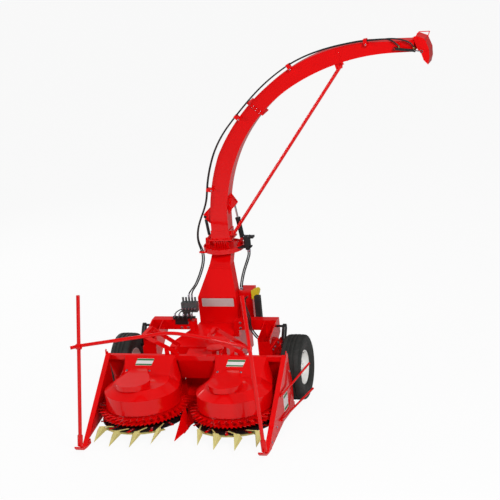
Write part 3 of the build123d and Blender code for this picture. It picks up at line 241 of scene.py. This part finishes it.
# name: (colour, its spread, scale of the clouds, roughness, its spread), other settings
LOOKS = {
    "red_paint": (((0.80, 0.0010, 0.0018), 0.04, 2.5, 0.40, 0.05),
                  dict(coat=0.6, grain=90, grain_strength=0.02, grain_depth=0.0001, specular=0.04)),
    "black_paint": (((0.014, 0.014, 0.015), 0.25, 9, 0.42, 0.08), dict(grain=500, specular=0.35)),
    "cream_paint": (((0.66, 0.60, 0.22), 0.07, 8, 0.40, 0.06), dict(grain=500, specular=0.35)),
    "rim_paint": (((0.88, 0.88, 0.85), 0.05, 7, 0.38, 0.06), dict(coat=0.1, grain=450, specular=0.4)),
    "tyre_rubber": (((0.022, 0.023, 0.021), 0.25, 12, 0.66, 0.10),
                    dict(grain=900, grain_strength=0.35, grain_depth=0.0004, specular=0.35)),
    "steel": (((0.42, 0.42, 0.43), 0.10, 20, 0.32, 0.08), dict(metallic=1.0, grain=800)),
    "chrome_rod": (((0.62, 0.62, 0.64), 0.03, 10, 0.10, 0.03), dict(metallic=1.0, grain=400, grain_strength=0.03)),
    "guard_yellow": (((0.72, 0.55, 0.02), 0.06, 10, 0.42, 0.06), dict(grain=500, specular=0.35)),
    "guard_black": (((0.018, 0.017, 0.017), 0.25, 14, 0.55, 0.10), dict(grain=700, grain_strength=0.3, specular=0.35)),
    "hose_rubber": (((0.012, 0.011, 0.011), 0.30, 40, 0.46, 0.10), dict(grain=1200, grain_strength=0.3, specular=0.4)),
    "valve_grey": (((0.10, 0.11, 0.11), 0.20, 25, 0.48, 0.10), dict(metallic=0.4, grain=700, grain_strength=0.3)),
    "zinc_plate": (((0.50, 0.49, 0.56), 0.10, 60, 0.28, 0.06), dict(metallic=1.0, grain=900)),
    "brass": (((0.62, 0.45, 0.16), 0.10, 60, 0.30, 0.06), dict(metallic=1.0, grain=900)),
    "plate_white": (((0.80, 0.80, 0.80), 0.03, 20, 0.40, 0.04), dict(grain=600, grain_strength=0.05, specular=0.3)),
    "band_green": (((0.016, 0.20, 0.055), 0.06, 20, 0.40, 0.04), dict(grain=600, grain_strength=0.05, specular=0.3)),
    "plate_silver": (((0.62, 0.62, 0.60), 0.04, 20, 0.36, 0.05), dict(metallic=0.3, grain=600, grain_strength=0.05)),
}
MATERIALS = {name: surface(name, *look, **more) for name, (look, more) in LOOKS.items()}


# Making pieces

def soften(obj, degrees=28):
    """Smooth shading with sharp edges kept."""
    picked = dict(object=obj, active_object=obj, selected_objects=[obj], selected_editable_objects=[obj])
    with bpy.context.temp_override(**picked):
        bpy.ops.object.shade_smooth_by_angle(angle=math.radians(degrees))


def dress_nodes():
    """Every carried-over node gets its slot's material and soft edges."""
    for part in frame["record"]["subparts"]:
        obj = nodes[part["node"]]
        obj.data.materials.clear()
        obj.data.materials.append(MATERIALS[part["material_slot"]])
        soften(obj)


def new_piece(name, bm, material, body, bevel=0.0, degrees=30):
    """A mesh piece on a body, with a material given by name."""
    mesh = bpy.data.meshes.new(name)
    bmesh.ops.recalc_face_normals(bm, faces=bm.faces)
    bm.to_mesh(mesh)
    bm.free()
    obj = bpy.data.objects.new(name, mesh)
    bpy.context.scene.collection.objects.link(obj)
    mesh.materials.append(MATERIALS[material])
    soften(obj, degrees)
    if bevel:
        edge = obj.modifiers.new("edge", "BEVEL")
        edge.width = bevel
        edge.segments = 2
        edge.limit_method = "ANGLE"
    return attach(obj, body)


def lathe(bm, origin, axis, profile, sides=18):
    """A turned form about an axis from origin; the profile is (radius, height) pairs."""
    axis = Vector(axis).normalized()
    side = axis.orthogonal().normalized()
    other = axis.cross(side)
    turns = [math.tau * k / sides for k in range(sides)]
    outward = [side * math.cos(turn) + other * math.sin(turn) for turn in turns]
    rings = []
    for radius, height in profile:
        rings.append([bm.verts.new(origin + axis * height + out * radius) for out in outward])
    for low, high in zip(rings, rings[1:]):
        for k in range(sides):
            bm.faces.new((low[k], low[(k + 1) % sides], high[(k + 1) % sides], high[k]))
    bm.faces.new(rings[0][::-1])
    bm.faces.new(rings[-1])


def add_bolt(bm, point, axis, size):
    """A washer with a chamfered six-sided head."""
    washer = ((1.3, -0.05), (1.3, 0.2), (1.2, 0.25))
    head = ((0.98, 0.24), (1, 0.3), (1, 0.78), (0.86, 0.9))
    lathe(bm, point, axis, [(size * r, size * h) for r, h in washer], 20)
    lathe(bm, point, axis, [(size * r, size * h) for r, h in head], 6)


def prism(bm, corners, normal, low, high):
    """A flat plate given by its corners, between two offsets along its normal."""
    normal = Vector(normal).normalized()
    bottom = [bm.verts.new(c + normal * low) for c in corners]
    top = [bm.verts.new(c + normal * high) for c in corners]
    bm.faces.new(bottom[::-1])
    bm.faces.new(top)
    for k in range(len(corners)):
        j = (k + 1) % len(corners)
        bm.faces.new((bottom[k], bottom[j], top[j], top[k]))


def rounded(corners, radius, steps=4):
    """The same outline with its corners rounded by short arcs."""
    out = []
    for k, corner in enumerate(corners):
        before = (corners[k - 1] - corner).normalized() * radius
        after = (corners[(k + 1) % len(corners)] - corner).normalized() * radius
        for n in range(steps + 1):
            t = n / steps
            out.append(corner + before * (1 - t) ** 2 + after * t ** 2)
    return out


# Fasteners, one table per place

def bolt_table():
    """Every bolt: (paint, body) to a list of (point, axis, size)."""
    table = {}

    def add(paint, body, point, axis, size):
        table.setdefault((paint, body), []).append((point, axis, size))

    for sign in (-1, 1):
        side = "right" if sign > 0 else "left"
        # divider plates, seen from outside
        spots = (-0.384, 0.430), (0.070, 0.092), (-0.340, 0.112), (-0.900, 0.060), (-0.660, 0.150), (0.060, 0.560)
        for y, z in spots:
            add("zinc", "machine", place(sign * HALF_W, y, z), (sign, 0, 0), 0.011)
        # hood covers and their fairings
        for dx in (-0.263, 0.030):
            add("zinc", "machine", place(sign * ROTOR_X + dx, -0.150, 0.6205), (0, -0.69, 0.72), 0.010)
        # joints of the frame's rear beam, and the wheel arms
        for dx, z in ((0.345, 0.815), (0.345, 0.880), (0.430, 0.815), (0.430, 0.880)):
            add("zinc", "machine", place(sign * dx, 0.826, z), (0, -1, 0), 0.013)
        for y, z in ((0.50, 0.66), (0.50, 0.57), (0.60, 0.66), (0.74, 0.66), (0.76, 0.60)):
            add("zinc", "machine", place(sign * 0.841, y, z), (sign, 0, 0), 0.014)
        # wheels
        for k in range(WHEEL_BOLTS):
            turn = math.radians(360 // WHEEL_BOLTS * k + 15)
            point = place(sign * (WHEEL_X + 0.020), WHEEL_Y + 0.105 * math.cos(turn), WHEEL_Z + 0.105 * math.sin(turn))
            add("zinc", "wheel_" + side, point, (sign, 0, 0), 0.015)
        # knives
        for k in range(KNIVES):
            turn = math.radians(360 // KNIVES * k)
            for lx, ly in ((0.0, -0.447), (sign * 0.009, -0.482)):
                x = lx * math.cos(turn) - ly * math.sin(turn)
                y = lx * math.sin(turn) + ly * math.cos(turn)
                add("zinc", "cutter_" + side, place(sign * ROTOR_X + x, ROTOR_Y + y, 0.148), (0, 0, 1), 0.0085)
    # tower's foot
    for k in range(5):
        for y in (1.043, 1.227):
            add("red", "machine", place(-0.22 + 0.11 * k, y, 0.808), (0, 0, 1), 0.0065)
    # turning plate
    for angle in (45, 72, 98, 125, 236, 262, 288, 314):
        turn = math.radians(angle)
        add("zinc", "turret", place(0.212 * math.cos(turn), TURN_Y + 0.212 * math.sin(turn), 1.6703), (0, 0, 1), 0.010)
    # bolted joint of the spout
    lean = math.radians(50)
    along, up = Vector((math.cos(lean), 0, math.sin(lean))), Vector((-math.sin(lean), 0, math.cos(lean)))
    for y in (TURN_Y - 0.110, TURN_Y + 0.110):
        for t in (-0.062, -0.008, 0.046, 0.100):
            middle = place(0.632, y, 3.465) + up * t
            add("zinc", "spout", middle + along * 0.012, tuple(along), 0.0075)
            add("zinc", "spout", middle - along * 0.012, tuple(-along), 0.0075)
    # hose clips and the motor's lid
    for x, z, turn in CLIPS:
        lean = math.radians(turn)
        point = place(x + 0.004 + 0.050 * math.cos(lean), TURN_Y - 0.166, z - 0.050 * math.sin(lean))
        add("zinc", "spout", point, (0, -1, 0), 0.008)
    for dx, dy in ((-0.030, -0.032), (-0.030, 0.032), (0.030, -0.032), (0.030, 0.032), (0.075, 0.0)):
        add("zinc", "machine", place(MOTOR_X + dx, MOTOR_Y + dy, 1.826), (0, 0, 1), 0.007)
    return table


def make_bolts():
    """All the bolts, one piece for each paint and body."""
    material = {"zinc": "zinc_plate", "red": "red_paint"}
    for (paint, body), bolts in bolt_table().items():
        bm = bmesh.new()
        for point, axis, size in bolts:
            add_bolt(bm, point, axis, size)
        new_piece("bolts_" + paint + "_" + body, bm, material[paint], body)


# Tyres and rims

# half of the tyre's section, from the bead to the tread's middle: distance from the middle plane, radius
TYRE_HALF = [
    (0.088, 0.2105), (0.094, 0.219), (0.098, 0.230), (0.104, 0.233), (0.110, 0.248), (0.1185, 0.270), (0.1235, 0.300),
    (0.1245, 0.325), (0.1255, 0.3252), (0.1255, 0.331), (0.1240, 0.3315), (0.1235, 0.350), (0.1195, 0.372),
    (0.1120, 0.388), (0.1010, 0.3965), (0.0700, 0.4010), (0.0600, 0.4015), (0.0555, 0.391), (0.0460, 0.3895),
    (0.0400, 0.391), (0.0345, 0.4022), (0.0140, 0.4032), (0.0090, 0.391), (0.0, 0.3895),
]
TYRE_STEPS = 144


def make_tyre(side, sign):
    """A ribbed implement tyre: ribs, notched shoulders and cuts in the middle ribs."""
    section = TYRE_HALF + [(-x, r) for x, r in TYRE_HALF[-2::-1]]
    rings = []
    bm = bmesh.new()
    for k in range(TYRE_STEPS):
        turn = math.tau * k / TYRE_STEPS
        ring = []
        for x, r in section:
            if k % 4 == 0 and r > 0.376 and abs(x) > 0.085:
                r -= 0.007
            if k % 8 == 4 and r > 0.400 and abs(x) < 0.0345:
                r -= 0.004
            point = place(sign * WHEEL_X + x, WHEEL_Y + r * math.cos(turn), WHEEL_Z + r * math.sin(turn))
            ring.append(bm.verts.new(point))
        rings.append(ring)
    for a, b in zip(rings, rings[1:] + rings[:1]):
        for j in range(len(section) - 1):
            bm.faces.new((a[j], a[j + 1], b[j + 1], b[j]))
        bm.faces.new((a[-1], a[0], b[0], b[-1]))
    tyre = new_piece("tread_" + side, bm, "tyre_rubber", "wheel_" + side, degrees=24)
    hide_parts("tyre_" + side)


def make_hub(side, sign):
    """The hub's cap, its flange ring and the tyre's valve."""
    bm = bmesh.new()
    cap = [(0.0365, -0.0005), (0.0365, 0.010), (0.033, 0.018), (0.020, 0.024), (0.006, 0.026)]
    flange = [(0.0775, 0), (0.0775, 0.004), (0.070, 0.0055)]
    lathe(bm, place(sign * (WHEEL_X + 0.060), WHEEL_Y, WHEEL_Z), (sign, 0, 0), cap, 32)
    lathe(bm, place(sign * (WHEEL_X + 0.0195), WHEEL_Y, WHEEL_Z), (sign, 0, 0), flange, 40)
    new_piece("hub_cap_" + side, bm, "rim_paint", "wheel_" + side)
    bm = bmesh.new()
    lathe(bm, place(sign * (WHEEL_X + 0.030), WHEEL_Y + 0.110, WHEEL_Z + 0.140), (sign, 0.1, 0.15),
          [(0.0045, -0.012), (0.0045, 0.020), (0.0055, 0.021), (0.0055, 0.030), (0.004, 0.032)], 12)
    new_piece("valve_" + side, bm, "hose_rubber", "wheel_" + side)


# Blank plates

HOOD_NORMAL = (0, -0.6897, 0.7241)


def hood_strip(bm, sign, y0, y1, low, high):
    """A strip of the hood's plate between two lines, on the slope of the hood's fairing."""
    corners = []
    for y, ends in ((y0, (0, 1)), (y1, (1, 0))):
        share = (y + 0.098) / 0.066
        reach = -0.168 + 0.018 * share, 0.043 + 0.025 * share
        corners += [place(sign * ROTOR_X + reach[end], y, 0.763 + 0.9526 * y) for end in ends]
    prism(bm, corners, HOOD_NORMAL, low, high)


def divider_corners(front, back, low, high):
    """The corners of a rectangle on the right divider's face."""
    return [place(HALF_W, y, z) for y, z in ((front, low), (back, low), (back, high), (front, high))]


def make_plates():
    """Blank plates: white ones with green bands on the hoods and the right divider, a silver one on the tower."""
    for side, sign in (("left", -1), ("right", 1)):
        bm = bmesh.new()
        hood_strip(bm, sign, -0.098, -0.032, 0.0003, 0.0016)
        new_piece("plate_" + side, bm, "plate_white", "machine")
        bm = bmesh.new()
        hood_strip(bm, sign, -0.0955, -0.083, 0.0014, 0.0022)
        hood_strip(bm, sign, -0.051, -0.0345, 0.0014, 0.0022)
        new_piece("plate_bands_" + side, bm, "band_green", "machine")
    bm = bmesh.new()
    corners = [place(x, 1.050, z) for x, z in ((-0.205, 1.020), (0.215, 1.020), (0.215, 1.128), (-0.205, 1.128))]
    prism(bm, rounded(corners, 0.012), (0, -1, 0), 0.0003, 0.0024)
    new_piece("tower_plate", bm, "plate_silver", "machine")
    bm = bmesh.new()
    prism(bm, rounded(divider_corners(-0.300, -0.120, 0.185, 0.385), 0.010), (1, 0, 0), 0.0003, 0.0020)
    new_piece("divider_plate", bm, "plate_white", "machine")
    bm = bmesh.new()
    for low, high in ((0.195, 0.225), (0.345, 0.375)):
        prism(bm, divider_corners(-0.290, -0.130, low, high), (1, 0, 0), 0.0018, 0.0026)
    new_piece("divider_bands", bm, "band_green", "machine")


# Hoses

def hose_line(name, points, body=None, radius=HOSE_R):
    """A hose whose line follows its control points. It rides on a body, if one is given."""
    data = bpy.data.curves.new(name, "CURVE")
    data.dimensions = "3D"
    data.bevel_depth = radius
    data.bevel_resolution = 4
    data.resolution_u = 6
    data.use_fill_caps = True
    spline = data.splines.new("NURBS")
    spline.points.add(len(points) - 1)
    for point, (x, y, z) in zip(spline.points, points):
        point.co = (*place(x, y, z), 1)
    spline.order_u = 3
    spline.use_endpoint_u = True
    obj = bpy.data.objects.new(name, data)
    bpy.context.scene.collection.objects.link(obj)
    data.materials.append(MATERIALS["hose_rubber"])
    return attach(obj, body) if body else obj


def bending_hose(name, points):
    """A hose across the joint between two bodies, made into a fixed mesh that rides on neither body."""
    line = hose_line(name + "_line", points)
    graph = bpy.context.evaluated_depsgraph_get()
    mesh = bpy.data.meshes.new_from_object(line.evaluated_get(graph))
    mesh.name = name
    obj = bpy.data.objects.new(name, mesh)
    bpy.context.scene.collection.objects.link(obj)
    bpy.data.objects.remove(line)
    soften(obj, 40)
    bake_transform(obj)


def moved(points, dx, dy, dz):
    """The same route beside the first one."""
    return [(x + dx, y + dy, z + dz) for x, y, z in points]


def between(a, b):
    """The point half way."""
    return tuple((p + q) / 2 for p, q in zip(a, b))


# Routes in the drawing's metres: from the valve block up to the ring, up the spout, then to the flap's cylinder.
DROP = [
    (-0.292, 0.934, 1.1833), (-0.292, 0.9345, 1.228), (-0.278, 0.992, 1.270), (-0.256, 1.066, 1.302),
    (-0.242, 1.146, 1.352), (-0.228, 1.220, 1.412), (-0.216, 1.280, 1.476), (-0.212, 1.330, 1.540),
    (-0.219, 1.366, 1.604), (-0.234, 1.378, 1.672),
]
CLIMB = [
    (-0.282, 1.400, 1.760), (-0.286, 1.400, 1.850), (-0.264, 1.400, 1.965), (-0.216, 1.401, 2.085),
    (-0.160, 1.402, 2.200), (-0.118, 1.403, 2.318), (-0.099, 1.404, 2.430), (-0.078, 1.404, 2.560),
    (-0.036, 1.404, 2.720), (0.028, 1.404, 2.900), (0.106, 1.404, 3.052), (0.210, 1.404, 3.206),
    (0.334, 1.404, 3.348), (0.470, 1.404, 3.494), (0.620, 1.404, 3.646), (0.768, 1.404, 3.778),
    (0.930, 1.404, 3.900), (1.120, 1.404, 4.020), (1.330, 1.404, 4.114), (1.550, 1.404, 4.182),
    (1.790, 1.404, 4.232), (2.040, 1.404, 4.266), (2.270, 1.402, 4.274),
]
TAILS = (
    [(2.345, 1.400, 4.271), (2.408, 1.394, 4.245), (2.452, 1.388, 4.212), (2.4805, 1.387, 4.182)],
    [(2.380, 1.378, 4.282), (2.500, 1.374, 4.270), (2.600, 1.378, 4.232), (2.646, 1.385, 4.192),
     (2.6599, 1.387, 4.158)],
)
# from the turning motor down to the side drive: steps from the motor's port, then the end's height
PORT_Z = 1.646
MOTOR_FALL = [
    (0, 0, -0.0003), (0, -0.001, -0.042), (-0.004, -0.014, -0.080), (-0.020, -0.060, -0.142),
    (-0.040, -0.130, -0.217), (-0.052, -0.200, -0.292), (-0.058, -0.256, -0.362), (-0.060, -0.280, -0.408),
]
MOTOR_END = (-0.060, -0.2805)
DRIVE_TOP = 1.2003
# from the side drive over the rear beam
SIDE = [
    (0.372, 1.1497, 1.120), (0.3725, 1.080, 1.121), (0.382, 0.990, 1.126), (0.408, 0.900, 1.112),
    (0.450, 0.834, 1.066), (0.482, 0.806, 1.004), (0.494, 0.798, 0.940), (0.488, 0.796, 0.884),
    (0.498, 0.790, 0.834), (0.530, 0.778, 0.786), (0.568, 0.764, 0.742), (0.612, 0.750, 0.708),
]
SIDE_END = (0.6636, 0.748, 0.700)


def make_spout_hoses():
    """The two hoses up the tower, over the turntable, along the spout and on to the flap's cylinder."""
    second = [(x - (0.040 if k < 2 else 0.024), y, z) for k, (x, y, z) in enumerate(DROP)]
    climbs = CLIMB, moved(CLIMB, -0.004, -0.020, -0.002)
    for n, low, high, tail in ((1, DROP, climbs[0], TAILS[0]), (2, second, climbs[1], TAILS[1])):
        name = "hose_%d_" % n
        clamp, loop, run = between(low[-2], low[-1]), between(high[0], high[1]), between(high[5], high[6])
        first = hose_line(name + "tower", low[:-1] + [clamp], "machine")
        bending_hose(name + "turn", [clamp, low[-1], high[0], loop])
        bending_hose(name + "hinge", [loop] + high[1:6] + [run])
        last = between(high[-2], high[-1])
        along = hose_line(name + "spout", [run] + high[6:-1] + [last], "spout")
        bending_hose(name + "tip", [last, high[-1]] + tail)
        if n == 1:
            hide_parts("hoses_drop")
            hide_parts("hoses_spout")


def make_frame_hoses():
    """The hoses from the turning motor, over the rear beam, and from the valve block to the coupling bar."""
    motor = moved(MOTOR_FALL, MOTOR_X, MOTOR_Y, PORT_Z) + [(MOTOR_X + MOTOR_END[0], MOTOR_Y + MOTOR_END[1], DRIVE_TOP)]
    first = hose_line("hose_motor_1", motor, "machine")
    hose_line("hose_motor_2", moved(motor, *MOTOR_STEP), "machine")
    hose_line("hose_side_1", SIDE + [SIDE_END], "machine")
    lower_end = (SIDE_END[0], SIDE_END[1], SIDE_END[2] + SIDE_STEP[2])
    hose_line("hose_side_2", moved(SIDE, *SIDE_STEP) + [lower_end], "machine")
    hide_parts("hoses_frame")
    for k, (start, stop) in enumerate(FAN):
        points = [(start, 0.897, 1.050), (start, 0.868, 1.052), ((start + stop) / 2, 0.836, 1.040),
                  (stop, 0.812, 1.012), (stop, 0.808, 0.974)]
        hose_line("hose_fan_%d" % k, points, "machine", 0.007)


def make_fittings():
    """Crimped sleeves and nuts at the hoses' ends, and the elbows of the flap's cylinder."""
    sleeve = [(0.0105, 0), (0.0125, 0.003), (0.0125, 0.030), (0.0105, 0.034)]
    nut = [(0.0135, 0), (0.0135, 0.010), (0.012, 0.012)]
    ends = [(place(x, 0.934, 1.184), (0, 0, 1)) for x in (-0.292, -0.332)]
    for dx, dy, dz in ((0, 0, 0), MOTOR_STEP):
        ends.append((place(MOTOR_X + dx, MOTOR_Y + dy, 1.645), (0, 0, -1)))
        ends.append((place(0.285 + dx, 1.1695 + dy, DRIVE_TOP), (0, 0, 1)))
    for dx, dy, dz in ((0, 0, 0), SIDE_STEP):
        ends.append((place(SIDE[0][0] + dx, SIDE[0][1], SIDE[0][2] + dz), (0, -1, 0)))
    for start, stop in FAN:
        ends.append((place(start, 0.8955, 1.050), (0, -1, 0)))
        ends.append((place(stop, 0.808, 0.974), (0, 0, 1)))
    bm = bmesh.new()
    for point, axis in ends:
        lathe(bm, point, axis, sleeve, 16)
        lathe(bm, point, axis, nut, 6)
    new_piece("fittings", bm, "zinc_plate", "machine")
    bm = bmesh.new()
    elbow = [(0.0105, 0), (0.0105, 0.012), (0.0135, 0.0125), (0.0135, 0.022), (0.0115, 0.024)]
    for x, z in ((2.4805, 4.160), (2.6599, 4.136)):
        lathe(bm, place(x, FLAP_Y, z), (0, 0, 1), elbow, 6)
        lathe(bm, place(x, FLAP_Y, z), (0, 0, 1), [(0.0115, 0.022), (0.0115, 0.030)], 16)
    new_piece("elbows", bm, "brass", "flap_barrel")


# Trim

def make_guard_ribs():
    """The folds of the upright rubber guard."""
    bm = bmesh.new()
    for k in range(15):
        z = 0.822 + 0.0250 * k
        corners = [place(x, y, z) for x, y in ((0.5165, 0.9465), (0.5935, 0.9465), (0.5935, 1.0195), (0.5165, 1.0195))]
        prism(bm, rounded(corners, 0.012), (0, 0, 1), -0.006, 0.006)
    new_piece("guard_ribs", bm, "guard_black", "machine", bevel=0.003)


def make_spout_bands():
    """The stiffening band near the spout's tip, on both sides."""
    bm = bmesh.new()
    low, high = (1.774, 3.978), (1.694, 4.174)
    for y, normal in ((TURN_Y - 0.100, (0, -1, 0)), (TURN_Y + 0.100, (0, 1, 0))):
        corners = [place(x + dx, y, z) for (x, z), dx in ((low, -0.014), (low, 0.014), (high, 0.014), (high, -0.014))]
        prism(bm, corners, normal, 0.0002, 0.0045)
    new_piece("spout_band", bm, "red_paint", "spout", bevel=0.001)


def make_turret_ribs():
    """The stiffening ribs between the turning plate and the spout's foot."""
    bm = bmesh.new()
    for k in range(6):
        x = -0.075 + 0.030 * k
        for y0, y1 in ((TURN_Y - 0.124, TURN_Y - 0.0995), (TURN_Y + 0.0995, TURN_Y + 0.124)):
            corners = [place(x, y0, 1.671), place(x, y1, 1.671), place(x, y1, 1.7705), place(x, y0, 1.7705)]
            prism(bm, corners, (1, 0, 0), -0.004, 0.004)
    new_piece("turret_ribs", bm, "red_paint", "turret", bevel=0.0008)


def make_tower_fold():
    """The doubled sheet at the tower's upper fold."""
    bm = bmesh.new()
    rise = Vector((0, 0.252, 0.350)).normalized()
    out = Vector((0, -0.350, 0.252)).normalized()
    fold = place(0, 1.302, 1.490)
    for low, high in ((-0.046, -0.030), (-0.018, -0.002)):
        corners = []
        for reach, side in ((low, -1), (low, 1), (high, 1), (high, -1)):
            corners.append(fold + rise * reach + Vector((side * (0.139 - 0.26 * reach), 0, 0)))
        prism(bm, corners, out, 0.0002, 0.0050)
    new_piece("tower_fold", bm, "red_paint", "machine", bevel=0.001)


def make_strut_sleeve():
    """The dark sleeve on the strut behind the spout's foot."""
    top, low = Vector((-0.190, 0, 2.085)), Vector((-0.157, 0, 1.789))
    up = (top - low).normalized()
    start = low + up * 0.045
    tube = [(0.0125, 0), (0.019, 0.004), (0.019, 0.200), (0.0165, 0.206), (0.0125, 0.208)]
    knob = [(0.018, -0.012), (0.018, 0.013), (0.016, 0.015)]
    bm = bmesh.new()
    lathe(bm, place(start.x, STRUT_Y, start.z), up, tube, 28)
    lathe(bm, place(top.x, STRUT_Y, top.z - 0.012), (0, -1, 0), knob, 24)
    new_piece("strut_sleeve", bm, "black_paint", "spout")


def make_glands():
    """The screwed glands and ports of the lift cylinder and the flap cylinder."""
    foot, eye = Vector((0.250, 0, 1.755)), Vector((0.190, 0, 2.215))
    up = (eye - foot).normalized()
    bm = bmesh.new()
    start = foot + up * 0.262
    gland = [(0.0345, 0), (0.0345, 0.020), (0.032, 0.023), (0.022, 0.0236)]
    lathe(bm, place(start.x, LIFT_Y, start.z), up, gland, 28)
    for reach in (0.040, 0.240):
        point = foot + up * reach
        port = [(0.011, 0), (0.011, 0.016), (0.009, 0.018)]
        lathe(bm, place(point.x + 0.026, LIFT_Y, point.z), (1, 0, 0.13), port, 6)
    new_piece("lift_gland", bm, "black_paint", "lift_barrel")
    foot, eye = Vector((2.426, 0, 4.154)), Vector((2.747, 0, 4.111))
    along = (eye - foot).normalized()
    start = foot + along * 0.232
    bm = bmesh.new()
    lathe(bm, place(start.x, FLAP_Y, start.z), along, [(0.0195, 0), (0.0195, 0.016), (0.016, 0.0185)], 24)
    new_piece("flap_gland", bm, "black_paint", "flap_barrel")


make_camera()
make_world()
make_floor()
make_lamps()
dress_nodes()
make_bolts()
for side, sign in (("left", -1), ("right", 1)):
    make_tyre(side, sign)
    make_hub(side, sign)
make_plates()
make_spout_hoses()
make_frame_hoses()
make_fittings()
make_guard_ribs()
make_spout_bands()
make_turret_ribs()
make_tower_fold()
make_strut_sleeve()
make_glands()
